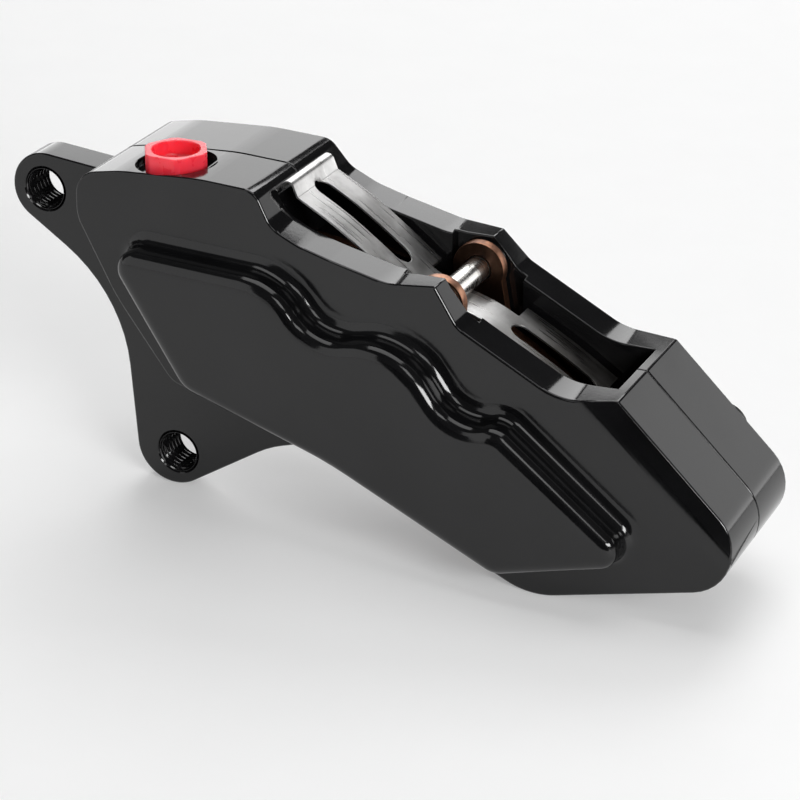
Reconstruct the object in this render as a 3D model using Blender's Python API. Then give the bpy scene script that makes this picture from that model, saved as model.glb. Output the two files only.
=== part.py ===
"""Six-piston fixed brake caliper with pads, drawn in millimetres and stored in metres.

X runs along the caliper, Y across the disc (near half negative), Z up.  Every outline is drawn
in the XZ plane with the disc axis at DISC_CENTRE, then the whole caliper is leaned so that it
stands on its lower ear and its right-hand end.
"""
import bpy
import bmesh
from math import atan2, ceil, cos, degrees, pi, radians, sin, tan
from mathutils import Matrix, Vector

# Disc the caliper is made for (the disc itself is not part of the model).
DISC_CENTRE = (19.7, -69.3)
SLOT_RADIUS = 144.5
SLOT_HALF = 3.8

# Stance: lean about Y, then the shift that puts the box's bottom centre at the origin.
LEAN = radians(1.79)
SHIFT = (-55.16, 0.0, 0.82)
STANCE = Matrix.Scale(0.001, 4) @ Matrix.Translation(SHIFT) @ Matrix.Rotation(-LEAN, 4, 'Y')

# Halves.
SPLIT_HALF = 0.05
LEDGE_Y = 21.5
BASE_FILLET = 5.5
EDGE_ROUND = 3.9
PANEL_Y = LEDGE_Y + BASE_FILLET + EDGE_ROUND
WINDOW_HALF = 13.0
POCKET_HALF = 14.9
PLATE_Y = 10.2

# Outline corners: x, z, radius.
BODY = [
    (-18.9, 87.0, 7.0), (-6.0, 89.4, 40.0), (16.0, 90.7, 60.0), (32.0, 90.0, 5.0),
    (36.4, 81.0, 8.0), (44.0, 77.5, 20.0), (52.0, 75.3, 40.0), (67.5, 71.7, 20.0),
    (80.2, 73.2, 0.8), (86.2, 63.6, 7.0), (112.0, 49.9, 17.0), (127.1, 51.4, 1.2),
    (169.3, 10.5, 12.0), (106.0, -5.3, 20.0), (50.0, 20.6, 120.0), (6.9, 34.4, 6.0),
    (-8.5, 55.2, 60.0), (-18.9, 75.3, 10.0),
]
# The two dips in the top are cut shallower away from the near face: how far they rise at the
# window edge and at the outer face of each half, and the corners that rise.
DIP_CORNERS = (4, 5, 6, 7, 9, 10)
DIP_RISE = {-1: (0.0, 1.5), 1: (2.8, 1.5)}
PANEL = [
    (-2.9, 69.5, 1.4), (39.0, 67.8, 16.0), (49.9, 53.2, 16.0), (73.0, 57.4, 17.0),
    (86.9, 37.6, 15.0), (99.3, 40.2, 5.0), (131.9, 14.5, 0.8), (99.7, 5.8, 4.0),
    (55.2, 26.8, 100.0), (16.2, 39.2, 5.5),
]
# Sloping strip at the right-hand end of the near face: start and direction of its inner line,
# how wide its rounded beginning is, and how steeply it falls away after that.
CROWN_START = (112.4, 53.0)
CROWN_ALONG = (42.2, -40.9)
CROWN_BLEND = 5.0
CROWN_TILT = radians(15)
CROWN_REACH = 20.0
UPPER_EAR = (-34.6, 76.3)
LOWER_EAR = (1.8, 8.6)
EAR_RADIUS = 9.6
FOOT_CENTRE = (0.4, 10.0)
FOOT_RADIUS = 10.8
EAR_THREAD = 4.8
EAR_CHAMFER = 6.2

# Pistons: centre and radius, from the inlet end to the right-hand end.
PISTONS = [((26.9, 50.5), 15.0), ((62.0, 43.0), 13.5), ((97.0, 22.5), 12.7)]
BORE_START = 12.0
BORE_END = 28.0
PISTON_FRONT = 14.5
PISTON_BACK = 27.4
PISTON_WALL = 2.6
PISTON_GAP = 0.08
SEAL_GROOVE = (19.6, 22.6, 2.4)
DUST_GROOVE = (16.0, 18.0, 1.6)

# Pads: distances from the split plane.
PAD_INNER = 104.5
PAD_OUTER = 137.0
PAD_FIRST = -4.5
PAD_LAST = 46.8
LINING_Y = (4.0, 10.8)
BACKING_Y = (11.0, 13.9)
SHIM_Y = (14.0, 14.4)
LINING_INSET = 1.2
SHIM_INSET = 0.8
GROOVE_DEPTH = 2.4
PIN_CENTRE = (77.5, 65.4)
PIN_RADIUS = 3.175
PIN_EYE = 3.6
PAD_EYE_OUTER = 6.9
PIN_TIP = -19.0
PIN_HEAD_Y = (18.8, 21.6)
PIN_HEAD_RADIUS = 5.0
PIN_SLOT = 1.2

# Bolts, bleed screws, inlet.
BOLTS = [(-8.0, 80.0), (25.0, 82.2), (139.5, 29.0), (148.0, 15.0)]
BOLT_RADIUS = 4.0
BOLT_HEAD = 6.5
BOLT_TIP = -16.5
BOLT_CLEARANCE = 0.3
HEAD_SEAT = LEDGE_Y - 5.0
HEAD_HEIGHT = 8.0
SOCKET_RADIUS = 3.4
SOCKET_DEPTH = 4.0
BLEEDERS = [(6.0, 81.0), (131.0, 36.5)]
BLEED_BORE = 0.9
BLEED_HOLE = 3.0
CROSSOVERS = BLEEDERS
CROSSOVER_RADIUS = 3.6
CROSSOVER_DEPTH = 1.2
PASSAGE_RADIUS = 1.6
PORT_CENTRE = (4.6, -10.9)
PORT_TOP = 90.0
SPOT_RADIUS = 10.3
SPOT_FLOOR = 87.2
PORT_RADIUS = 5.0
PORT_DEPTH = 76.5
CAP_ACROSS = 8.9
CAP_ROUND = 8.35
CAP_RISE = 3.4
CAP_CUP = 6.3
STEM_RADIUS = 4.6
STEM_END = 78.0

# Leaf spring.
SPRING_HALF = 11.3
SPRING_THICK = 0.6
SPRING_WAIST = 5.6
SPRING_ROLL = (36.0, 88.0)
SPRING_SLOTS = [(41.0, 61.0), (94.5, 111.0)]
LEAF_SLOT_HALF = 3.0
SPRING_PATH = [
    (38.5, 85.8), (48.0, 80.4), (56.0, 74.9), (62.5, 70.0), (68.0, 65.8), (74.0, 62.6),
    (79.5, 61.4), (86.0, 59.2), (94.4, 55.0), (105.3, 48.9), (115.5, 42.2),
]
SIDES = 32
SMALL_SIDES = 24

# Surfaces: colour, roughness and metallic value.
GLOSS_BLACK = ((0.012, 0.012, 0.013), 0.12, 0.0)
SPRING_STEEL = ((0.62, 0.61, 0.60), 0.32, 1.0)
PIN_STEEL = ((0.60, 0.58, 0.54), 0.28, 1.0)
RED_PLASTIC = ((0.90, 0.035, 0.06), 0.3, 0.0)
PISTON_STEEL = ((0.55, 0.55, 0.56), 0.3, 1.0)
RUBBER = ((0.02, 0.02, 0.02), 0.6, 0.0)
COPPER_PLATING = ((0.45, 0.24, 0.15), 0.4, 1.0)
SHIM_STEEL = ((0.70, 0.70, 0.70), 0.3, 1.0)
SINTERED_BROWN = ((0.06, 0.045, 0.04), 0.85, 0.0)
BLACK_OXIDE = ((0.03, 0.03, 0.03), 0.4, 1.0)
BRIGHT_ZINC = ((0.60, 0.60, 0.60), 0.35, 1.0)


def polar(angle, radius, centre=DISC_CENTRE):
    """Point at an angle in degrees, clockwise from straight up."""
    a = radians(angle)
    return (centre[0] + radius * sin(a), centre[1] + radius * cos(a))


def arc(centre, radius, start, end, pieces):
    """Points along an arc; angles in degrees, anticlockwise from +X."""
    points = []
    for index in range(pieces + 1):
        a = radians(start + (end - start) * index / pieces)
        points.append((centre[0] + radius * cos(a), centre[1] + radius * sin(a)))
    return points


def ring_arc(radius, start, end, step=3.0):
    """Points along an arc about the disc axis, clockwise angles from straight up."""
    pieces = max(1, ceil(abs(end - start) / step))
    return [polar(start + (end - start) * index / pieces, radius) for index in range(pieces + 1)]


def rounded(corners, step=15.0, pieces=0):
    """Closed outline whose corners (x, z, radius) become arcs; a corner with no radius stays."""
    points = []
    count = len(corners)
    for index, corner in enumerate(corners):
        here = Vector(corner[:2])
        if len(corner) == 2:
            points.append(tuple(here))
            continue
        before = (Vector(corners[index - 1][:2]) - here).normalized()
        after = (Vector(corners[(index + 1) % count][:2]) - here).normalized()
        turn = pi - before.angle(after)
        centre = here + (before + after).normalized() * corner[2] / cos(turn / 2)
        start = here + before * corner[2] * tan(turn / 2) - centre
        end = here + after * corner[2] * tan(turn / 2) - centre
        first = atan2(start.y, start.x)
        sweep = (atan2(end.y, end.x) - first + pi) % (2 * pi) - pi
        parts = pieces or max(2, ceil(degrees(turn) / step))
        for piece in range(parts + 1):
            a = first + sweep * piece / parts
            points.append((centre.x + corner[2] * cos(a), centre.y + corner[2] * sin(a)))
    return points


def grown(points, distance):
    """Outline moved outwards by a distance (inwards when negative)."""
    area = sum(a[0] * b[1] - b[0] * a[1] for a, b in zip(points, points[1:] + points[:1]))
    side = 1.0 if area > 0 else -1.0
    result = []
    count = len(points)
    for index in range(count):
        here = Vector(points[index])
        into = (here - Vector(points[index - 1])).normalized()
        out = (Vector(points[(index + 1) % count]) - here).normalized()
        normal = Vector((into.y + out.y, -into.x - out.x)).normalized() * side
        stretch = 1.0 / max(0.3, normal.dot(Vector((into.y, -into.x)) * side))
        result.append(tuple(here + normal * distance * stretch))
    return result


def finish(name, mesh):
    """Object from a closed bmesh, with all faces looking outwards."""
    bmesh.ops.remove_doubles(mesh, verts=mesh.verts, dist=1e-4)
    bmesh.ops.recalc_face_normals(mesh, faces=mesh.faces)
    data = bpy.data.meshes.new(name)
    mesh.to_mesh(data)
    mesh.free()
    body = bpy.data.objects.new(name, data)
    bpy.context.scene.collection.objects.link(body)
    return body


def loft(name, rings):
    """Closed solid through rings (outline, y) that have the same number of points."""
    mesh = bmesh.new()
    loops = [[mesh.verts.new((x, y, z)) for x, z in outline] for outline, y in rings]
    count = len(loops[0])
    for low, high in zip(loops, loops[1:]):
        for index in range(count):
            after = (index + 1) % count
            mesh.faces.new((low[index], low[after], high[after], high[index]))
    mesh.faces.new(loops[0])
    mesh.faces.new(loops[-1])
    return finish(name, mesh)


def slab(name, outline, y0, y1):
    """Outline pushed straight from y0 to y1."""
    return loft(name, [(outline, y0), (outline, y1)])


def turned(name, centre, profile, sides=SIDES, ring=False):
    """Turned piece about an axis along Y through centre; profile is (radius, y)."""
    mesh = bmesh.new()
    loops = []
    for radius, y in profile:
        if radius == 0:
            loops.append([mesh.verts.new((centre[0], y, centre[1]))])
            continue
        loops.append([
            mesh.verts.new((centre[0] + radius * cos(2 * pi * i / sides), y,
                            centre[1] + radius * sin(2 * pi * i / sides)))
            for i in range(sides)])
    pairs = list(zip(loops, loops[1:]))
    if ring:
        pairs.append((loops[-1], loops[0]))
    for low, high in pairs:
        for i in range(sides):
            j = (i + 1) % sides
            if len(low) == 1:
                mesh.faces.new((low[0], high[j], high[i]))
            elif len(high) == 1:
                mesh.faces.new((low[i], low[j], high[0]))
            else:
                mesh.faces.new((low[i], low[j], high[j], high[i]))
    return finish(name, mesh)


def rod(name, centre, radius, y0, y1, sides=SIDES):
    """Plain round bar along Y."""
    return turned(name, centre, [(0, y0), (radius, y0), (radius, y1), (0, y1)], sides)


def upright(body, x, y, z=0.0):
    """Stand a piece turned about the Y axis on end, with its y measured up from z."""
    body.data.transform(Matrix.Translation((x, y, z)) @ Matrix.Rotation(radians(90), 4, 'X'))
    return body


def combine(body, tool, operation='DIFFERENCE'):
    """Cut a tool from a body, join it on, or keep what both share."""
    step = body.modifiers.new(operation.lower(), 'BOOLEAN')
    step.operation = operation
    step.solver = 'EXACT'
    step.object = tool
    bpy.context.view_layer.update()
    result = bpy.data.meshes.new_from_object(
        body.evaluated_get(bpy.context.evaluated_depsgraph_get()))
    body.modifiers.clear()
    tidy = bmesh.new()
    tidy.from_mesh(result)
    bmesh.ops.remove_doubles(tidy, verts=tidy.verts, dist=2e-3)
    bmesh.ops.dissolve_degenerate(tidy, edges=tidy.edges, dist=1e-3)
    tidy.to_mesh(result)
    tidy.free()
    body.data = result
    bpy.data.objects.remove(tool)
    return body


def panel_solid(side):
    """Raised piston housing: a rounded edge flowing into a hollow fillet at its foot."""
    face = rounded(PANEL)
    rings = [(grown(face, BASE_FILLET + EDGE_ROUND), side * (LEDGE_Y - 2.0)),
             (grown(face, BASE_FILLET + EDGE_ROUND), side * (LEDGE_Y - 0.05))]
    for angle in (30, 60, 90):
        a = radians(angle)
        out = EDGE_ROUND + BASE_FILLET * (1 - sin(a))
        rings.append((grown(face, out), side * (LEDGE_Y + BASE_FILLET * (1 - cos(a)))))
    for angle in (30, 60, 90):
        a = radians(angle)
        rings.append((grown(face, EDGE_ROUND * cos(a)),
                      side * (PANEL_Y - EDGE_ROUND * (1 - sin(a)))))
    return loft("panel", rings)


def plate_outline():
    """Mounting plate with its two ears."""
    return rounded(
        arc(UPPER_EAR, EAR_RADIUS, 83, 234, 12)
        + [(-13.4, 50.4, 40.0)]
        + arc(FOOT_CENTRE, FOOT_RADIUS, 184, 303, 10)
        + [(28.6, 15.0, 30.0), (50.0, 21.5), (50.0, 40.0), (-8.0, 80.0),
           (-9.0, 88.2), (-16.0, 84.1, 8.0)])


def pocket_outline(side):
    """Room for the pads, open to the disc side; the mounting plate closes its lower left end
    on the near half."""
    foot = ring_arc(102.8, 15.0, -5.2) if side < 0 else [polar(-5.2, 90.0)]
    return foot + ring_arc(139.5, -5.2, 47.6) + [polar(47.6, 85.0), polar(15.0, 85.0)]


def window_outline():
    """Opening from the pads up through the top."""
    return [(34.0, 62.0), (34.0, 100.0), (124.4, 100.0), (124.4, 24.0), polar(43.0, 130.0)]


def slot_outline():
    """Room for the disc."""
    return ring_arc(SLOT_RADIUS, -42.0, 66.0) + [(150.0, -40.0), (-60.0, -40.0)]


def crown_cutter(pieces):
    """Everything outside the sloping strip at the right-hand end of the near face."""
    along = Vector(CROWN_ALONG).normalized()
    across = Vector((-along.y, along.x))
    profile = [(-1.0, -PANEL_Y), (-1.0, -LEDGE_Y - 0.01)]
    for index in range(pieces + 1):
        offset = CROWN_BLEND * index / pieces
        fall = tan(CROWN_TILT) * offset * offset / (2 * CROWN_BLEND)
        profile.append((offset, fall - LEDGE_Y))
    fall = tan(CROWN_TILT) * (CROWN_REACH - CROWN_BLEND / 2)
    profile += [(CROWN_REACH, fall - LEDGE_Y), (CROWN_REACH, -PANEL_Y)]
    mesh = bmesh.new()
    loops = []
    for distance in (-12.0, 80.0):
        line = Vector(CROWN_START) + along * distance
        spots = [(line + across * offset, y) for offset, y in profile]
        loops.append([mesh.verts.new((spot.x, y, spot.y)) for spot, y in spots])
    for index in range(len(profile)):
        after = (index + 1) % len(profile)
        mesh.faces.new((loops[0][index], loops[0][after], loops[1][after], loops[1][index]))
    mesh.faces.new(loops[0])
    mesh.faces.new(loops[1])
    return finish("crown", mesh)


def body_outline(rise):
    """Body outline with its two dips raised."""
    corners = list(BODY)
    for index in DIP_CORNERS:
        x, z, radius = corners[index]
        corners[index] = (x + 0.5 * rise, z + 0.87 * rise, radius)
    return rounded(corners, pieces=5)


def half(name, side):
    """One half of the caliper body, before the holes that only it has."""
    outer, inner = (body_outline(rise) for rise in DIP_RISE[side])
    body = loft(name, [(inner, side * SPLIT_HALF), (inner, side * WINDOW_HALF),
                       (outer, side * LEDGE_Y), (outer, side * PANEL_Y)])
    mill = slab("mill", [(-80, -60), (220, -60), (220, 140), (-80, 140)],
                side * LEDGE_Y, side * (PANEL_Y + 8))
    combine(body, combine(mill, panel_solid(side)))
    if side < 0:
        combine(body, slab("plate", plate_outline(), side * SPLIT_HALF, side * PLATE_Y), 'UNION')
        combine(body, crown_cutter(4))
    combine(body, slab("slot", slot_outline(), -side, side * SLOT_HALF))
    combine(body, slab("pocket", pocket_outline(side), -side, side * POCKET_HALF))
    combine(body, slab("window", window_outline(), -side, side * WINDOW_HALF))
    ear_room = [(69.6, 50.0), (89.0, 44.0), (89.0, 90.0), (69.6, 90.0)]
    combine(body, slab("ear_pocket", ear_room, side * 10, side * POCKET_HALF))
    for centre, radius in PISTONS:
        profile = [(0, BORE_START), (radius, BORE_START)]
        for low, high, depth in (DUST_GROOVE, SEAL_GROOVE):
            profile += [(radius, low), (radius + depth, low), (radius + depth, high),
                        (radius, high)]
        profile += [(radius, BORE_END), (0, BORE_END)]
        combine(body, turned("bore", centre, [(r, side * y) for r, y in profile]))
    for centre in CROSSOVERS:
        combine(body, turned("passage", centre, [(r, side * y) for r, y in (
            (0, -1.0), (CROSSOVER_RADIUS, -1.0), (CROSSOVER_RADIUS, CROSSOVER_DEPTH),
            (PASSAGE_RADIUS, CROSSOVER_DEPTH), (PASSAGE_RADIUS, 13.0), (0, 13.0))],
            SMALL_SIDES))
    return body


def near_half():
    """Mounting half: threaded ears, inlet port, blind bolt and pin holes."""
    body = half("near_half", -1)
    for centre in (UPPER_EAR, LOWER_EAR):
        depth = EAR_CHAMFER - EAR_THREAD
        combine(body, turned("thread", centre, [
            (0, 3.0), (EAR_THREAD, 3.0), (EAR_THREAD, depth - PLATE_Y),
            (EAR_CHAMFER + 1.0, -PLATE_Y - 1.0), (0, -PLATE_Y - 1.0)]))
    for centre in BOLTS:
        combine(body, rod("bolt_hole", centre, BOLT_RADIUS + BOLT_CLEARANCE, 3.0,
                          BOLT_TIP - 0.5, SMALL_SIDES))
    combine(body, rod("pin_hole", PIN_CENTRE, PIN_RADIUS + 0.08, 3.0, PIN_TIP - 0.4,
                      SMALL_SIDES))
    x, y = PORT_CENTRE
    port = turned("port", (0, 0), [(0, PORT_DEPTH), (PORT_RADIUS, PORT_DEPTH),
                                   (PORT_RADIUS, SPOT_FLOOR), (SPOT_RADIUS, SPOT_FLOOR),
                                   (SPOT_RADIUS, 98.0), (0, 98.0)])
    combine(body, upright(port, x, y))
    return body


def far_half():
    """Outer half: bolt heads, bleed screws and the pin's head."""
    body = half("far_half", 1)
    for centre in BOLTS:
        shank = BOLT_RADIUS + BOLT_CLEARANCE
        head = BOLT_HEAD + BOLT_CLEARANCE + 0.1
        combine(body, turned("bolt_hole", centre, [
            (0, -3.0), (shank, -3.0), (shank, HEAD_SEAT), (head, HEAD_SEAT), (head, 40.0),
            (0, 40.0)], SMALL_SIDES))
    for centre in BLEEDERS:
        combine(body, rod("bleed_hole", centre, BLEED_HOLE, 12.0, 40.0, SMALL_SIDES))
    shank = PIN_RADIUS + 0.08
    head = PIN_HEAD_RADIUS + 0.4
    seat = PIN_HEAD_Y[0] - 0.2
    combine(body, turned("pin_hole", PIN_CENTRE, [
        (0, -3.0), (shank, -3.0), (shank, seat), (head, seat), (head, 40.0), (0, 40.0)],
        SMALL_SIDES))
    return body


def piston(name, side, centre, radius):
    """Hollow cup, open towards the pad."""
    r = radius - PISTON_GAP
    wall = r - PISTON_WALL
    profile = [(wall, PISTON_FRONT), (r - 0.6, PISTON_FRONT), (r, PISTON_FRONT + 0.6),
               (r, PISTON_BACK), (0, PISTON_BACK)]
    inside = [(0, PISTON_BACK - 4.0), (wall, PISTON_BACK - 4.0)]
    return turned(name, centre, [(r, side * y) for r, y in inside + profile])


def seal(name, side, centre, radius, groove):
    """Square-section ring in a bore groove."""
    low, high, depth = groove
    inner = radius
    outer = radius + depth - 0.2
    return turned(name, centre, [(inner, side * (low + 0.2)), (outer, side * (low + 0.2)),
                                 (outer, side * (high - 0.2)), (inner, side * (high - 0.2))],
                  ring=True)


def pad_outline(inset=0.0, eye=True):
    """Pad shape: a ring sector, with the hanging eye above it when asked for."""
    spread = degrees(inset / 120.0)
    inner = ring_arc(PAD_INNER + inset, PAD_FIRST + spread, PAD_LAST - spread, 4.0)
    outer = ring_arc(PAD_OUTER - inset, PAD_LAST - spread, PAD_FIRST + spread, 4.0)
    if not eye:
        return inner + outer
    shoulder = [p for p in outer if p[0] > 84.5] + arc(PIN_CENTRE, PAD_EYE_OUTER - inset,
                                                       -20, 200, 12)
    return inner + shoulder + [p for p in outer if p[0] < 75.0]


def pad_layer(name, side, span, inset):
    """Backing plate or shim: a flat plate hung on the pin."""
    plate = slab(name, pad_outline(inset), side * span[0], side * span[1])
    return combine(plate, rod("eye", PIN_CENTRE, PIN_EYE, side, side * 20, SMALL_SIDES))


def lining(name, side):
    """Friction lining with a groove across its middle."""
    block = slab(name, pad_outline(LINING_INSET, False), side * LINING_Y[0], side * LINING_Y[1])
    middle = (PAD_FIRST + PAD_LAST) / 2
    groove = [polar(middle - 0.5, 90), polar(middle - 0.5, 150), polar(middle + 0.5, 150),
              polar(middle + 0.5, 90)]
    return combine(block, slab("groove", groove, side, side * (LINING_Y[0] + GROOVE_DEPTH)))


def spring_rings(path, half_thick):
    """Outline of a strip of even thickness along a path."""
    upper = []
    lower = []
    count = len(path)
    for index in range(count):
        ahead = Vector(path[min(index + 1, count - 1)])
        behind = Vector(path[max(index - 1, 0)])
        along = (ahead - behind).normalized()
        normal = Vector((-along.y, along.x)) * half_thick
        here = Vector(path[index])
        upper.append(tuple(here + normal))
        lower.append(tuple(here - normal))
    return upper + lower[::-1]


def smooth(points, pieces=3):
    """Flowing curve through a few points."""
    padded = [points[0]] + points + [points[-1]]
    result = []
    for a, b, c, d in zip(padded, padded[1:], padded[2:], padded[3:]):
        for piece in range(pieces):
            t = piece / pieces
            result.append(tuple(
                0.5 * (2 * q + (r - p) * t + (2 * p - 5 * q + 4 * r - s) * t * t
                       + (3 * q - p - 3 * r + s) * t ** 3)
                for p, q, r, s in zip(a, b, c, d)))
    return result + [points[-1]]


def leaf_spring():
    """Anti-rattle leaf: rolled lip, slotted left leaf, waist under the pin, slotted right leaf."""
    path = arc(SPRING_ROLL, 1.5, 200, 10, 6) + smooth(SPRING_PATH)
    leaf = slab("leaf_spring", spring_rings(path, SPRING_THICK / 2), -SPRING_HALF, SPRING_HALF)
    for side in (-1, 1):
        waist = [(67.5, 50.0), (91.0, 40.0), (91.0, 72.0), (67.5, 76.0)]
        combine(leaf, slab("waist", waist, side * SPRING_WAIST, side * 20))
    for start, end in SPRING_SLOTS:
        outline = [(start, 30.0), (end, 30.0), (end, 95.0), (start, 95.0)]
        combine(leaf, slab("slot", outline, -LEAF_SLOT_HALF, LEAF_SLOT_HALF))
        for x in (start, end):
            combine(leaf, upright(rod("round", (0, 0), LEAF_SLOT_HALF, 30.0, 95.0, 16), x, 0.0))
    return leaf


def body_bolt(name, centre):
    """Socket-head bolt."""
    seat = HEAD_SEAT + 0.1
    top = seat + HEAD_HEIGHT
    bolt = turned(name, centre, [
        (0, BOLT_TIP), (BOLT_RADIUS - 0.6, BOLT_TIP), (BOLT_RADIUS, BOLT_TIP + 0.6),
        (BOLT_RADIUS, seat), (BOLT_HEAD, seat), (BOLT_HEAD, top - 0.6), (BOLT_HEAD - 0.6, top),
        (0, top)], SMALL_SIDES)
    return combine(bolt, rod("socket", centre, SOCKET_RADIUS, top - SOCKET_DEPTH, top + 4.0, 6))


def bleed_screw(name, centre):
    """Hexagon bleed screw with a drilled nipple."""
    screw = turned(name, centre, [(0, 12.6), (1.2, 12.6), (2.7, 14.4), (2.7, 22.2), (2.7, 24.0),
                                  (2.2, 24.4), (2.2, 26.6), (0, 26.6)], SMALL_SIDES)
    combine(screw, rod("hexagon", centre, 4.0, 22.0, 23.8, 6), 'UNION')
    return combine(screw, rod("bore", centre, BLEED_BORE, 16.0, 30.0, 12))


def bleed_cap(name, centre):
    """Rubber dust cap over the bleed nipple."""
    return turned(name, centre, [(0, 27.0), (2.5, 27.0), (2.5, 24.7), (3.4, 24.7), (3.6, 25.2),
                                 (3.6, 28.6), (2.8, 29.4), (0, 29.4)], SMALL_SIDES)


def pad_pin():
    """Cross pin that carries the pads, with a slotted head in the far half."""
    seat, top = PIN_HEAD_Y
    pin = turned("pad_pin", PIN_CENTRE, [
        (0, PIN_TIP), (PIN_RADIUS - 0.6, PIN_TIP), (PIN_RADIUS, PIN_TIP + 0.6),
        (PIN_RADIUS, seat), (PIN_HEAD_RADIUS, seat), (PIN_HEAD_RADIUS, top - 0.4),
        (PIN_HEAD_RADIUS - 0.4, top), (0, top)], SMALL_SIDES)
    x, z = PIN_CENTRE
    slot = [(x - 8, z - PIN_SLOT / 2), (x + 8, z - PIN_SLOT / 2), (x + 8, z + PIN_SLOT / 2),
            (x - 8, z + PIN_SLOT / 2)]
    return combine(pin, slab("slot", slot, top - PIN_SLOT, 25))


def ring_seal(name, centre):
    """Small seal between the halves where fluid crosses over."""
    return turned(name, centre, [(2.0, -0.9), (3.3, -0.9), (3.3, 0.9), (2.0, 0.9)],
                  SMALL_SIDES, True)


def port_cap():
    """Shipping plug in the inlet: hexagon rim with a round cup, and a stem in the port."""
    x, y = PORT_CENTRE
    floor = SPOT_FLOOR + 0.3
    cap = upright(rod("port_cap", (0, 0), CAP_ACROSS, floor, PORT_TOP + CAP_RISE, 6), x, y)
    trim = upright(rod("trim", (0, 0), CAP_ROUND, STEM_END, 100.0), x, y)
    combine(cap, trim, 'INTERSECT')
    stem = upright(rod("stem", (0, 0), STEM_RADIUS, STEM_END, floor + 1.7, SMALL_SIDES), x, y)
    combine(cap, stem, 'UNION')
    return combine(cap, upright(rod("cup", (0, 0), CAP_CUP, floor + 1.9, 100.0), x, y))


def paint(body, surface):
    """Give a piece a material of its own."""
    colour, roughness, metallic = surface
    material = bpy.data.materials.new(body.name)
    material.use_nodes = True
    inputs = material.node_tree.nodes["Principled BSDF"].inputs
    inputs["Base Color"].default_value = (*colour, 1.0)
    inputs["Roughness"].default_value = roughness
    inputs["Metallic"].default_value = metallic
    body.data.materials.clear()
    body.data.materials.append(material)


def place(body, surface, origin):
    """Paint a piece, shade it, and stand it up with its origin on its own axis."""
    paint(body, surface)
    body.data.shade_smooth()
    body.data.set_sharp_from_angle(angle=radians(35))
    centre = STANCE @ Vector(origin)
    body.data.transform(Matrix.Translation(-centre) @ STANCE)
    body.location = centre


def place_pads():
    """The two pads, each a backing plate, a shim and a lining, and the pin they hang on."""
    eye = (PIN_CENTRE[0], 0.0, PIN_CENTRE[1])
    place(pad_pin(), PIN_STEEL, eye)
    for word, side in (("near", -1), ("far", 1)):
        plate = pad_layer(f"backing_plate_{word}", side, BACKING_Y, 0.0)
        place(plate, COPPER_PLATING, eye)
        place(pad_layer(f"shim_{word}", side, SHIM_Y, SHIM_INSET), SHIM_STEEL, eye)
        place(lining(f"lining_{word}", side), SINTERED_BROWN, eye)


def place_pistons():
    """Six pistons with their pressure and dust seals."""
    for word, side in (("near", -1), ("far", 1)):
        for number, (centre, radius) in enumerate(PISTONS, 1):
            ending = f"{word}_{number}"
            axis = (centre[0], 0.0, centre[1])
            place(piston(f"piston_{ending}", side, centre, radius), PISTON_STEEL, axis)
            for kind, groove in (("pressure", SEAL_GROOVE), ("dust", DUST_GROOVE)):
                ring = seal(f"{kind}_seal_{ending}", side, centre, radius, groove)
                place(ring, RUBBER, axis)


def place_screws():
    """Body bolts, bleed screws with their caps, and the crossover seals."""
    for number, centre in enumerate(BOLTS, 1):
        place(body_bolt(f"body_bolt_{number}", centre), BLACK_OXIDE, (centre[0], 0.0, centre[1]))
    for number, centre in enumerate(BLEEDERS, 1):
        axis = (centre[0], 0.0, centre[1])
        place(bleed_screw(f"bleed_screw_{number}", centre), BRIGHT_ZINC, axis)
        place(bleed_cap(f"bleed_cap_{number}", centre), RUBBER, axis)
        place(ring_seal(f"crossover_seal_{number}", centre), RUBBER, axis)


def build():
    for body in list(bpy.data.objects):
        bpy.data.objects.remove(body)
    disc_axis = (DISC_CENTRE[0], 0.0, DISC_CENTRE[1])
    place(near_half(), GLOSS_BLACK, disc_axis)
    place(far_half(), GLOSS_BLACK, disc_axis)
    place(leaf_spring(), SPRING_STEEL, (PIN_CENTRE[0], 0.0, PIN_CENTRE[1]))
    place(port_cap(), RED_PLASTIC, (*PORT_CENTRE, SPOT_FLOOR))
    place_pads()
    place_pistons()
    place_screws()


build()
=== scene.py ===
"""Looks of the six-piston brake caliper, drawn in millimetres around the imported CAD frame.

Every outline lies in the XZ plane with the disc's axis at DISC_CENTRE and Y across the disc; a
finished piece is then leaned, shifted and scaled to metres, as the CAD parts were.
"""

from math import atan2, ceil, cos, degrees, pi, radians, sin, tan

import bmesh
import bpy
from mathutils import Matrix, Vector

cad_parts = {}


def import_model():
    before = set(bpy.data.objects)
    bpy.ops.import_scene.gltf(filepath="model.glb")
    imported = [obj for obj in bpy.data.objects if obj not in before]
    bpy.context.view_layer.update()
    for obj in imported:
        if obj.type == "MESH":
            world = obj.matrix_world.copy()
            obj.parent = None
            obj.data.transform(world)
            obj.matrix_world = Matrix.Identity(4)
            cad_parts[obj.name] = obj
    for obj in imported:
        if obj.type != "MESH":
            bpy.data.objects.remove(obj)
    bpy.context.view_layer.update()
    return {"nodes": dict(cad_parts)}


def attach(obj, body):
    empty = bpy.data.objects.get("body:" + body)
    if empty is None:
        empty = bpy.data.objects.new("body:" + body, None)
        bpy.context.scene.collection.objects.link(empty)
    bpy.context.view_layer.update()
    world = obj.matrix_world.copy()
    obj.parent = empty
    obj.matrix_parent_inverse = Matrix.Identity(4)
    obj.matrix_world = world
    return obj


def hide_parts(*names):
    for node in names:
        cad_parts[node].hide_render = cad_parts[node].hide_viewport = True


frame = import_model()

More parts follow.
